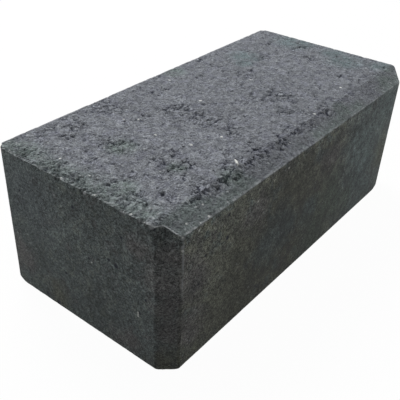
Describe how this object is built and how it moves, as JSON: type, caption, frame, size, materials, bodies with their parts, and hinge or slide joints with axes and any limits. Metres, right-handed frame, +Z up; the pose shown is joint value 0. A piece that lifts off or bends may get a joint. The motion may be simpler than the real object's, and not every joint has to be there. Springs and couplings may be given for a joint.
{
  "type": "concrete wall block",
  "caption": "Solid pressed concrete wall block, rectangular, with a bevelled front top edge, cut-back upright corners and rounded bottom corners.",
  "frame": {"origin": "middle of the bed, the flat underside that the block stands on", "axes": "+X along the wall, +Y from the front face to the back face, +Z up"},
  "size_m": [0.42, 0.2, 0.15],
  "materials": {
    "concrete": "rough pressed grey concrete, open-textured top, close-textured sides"
  },
  "bodies": {
    "root": {"wall_block": "concrete"}
  },
  "joints": []
}
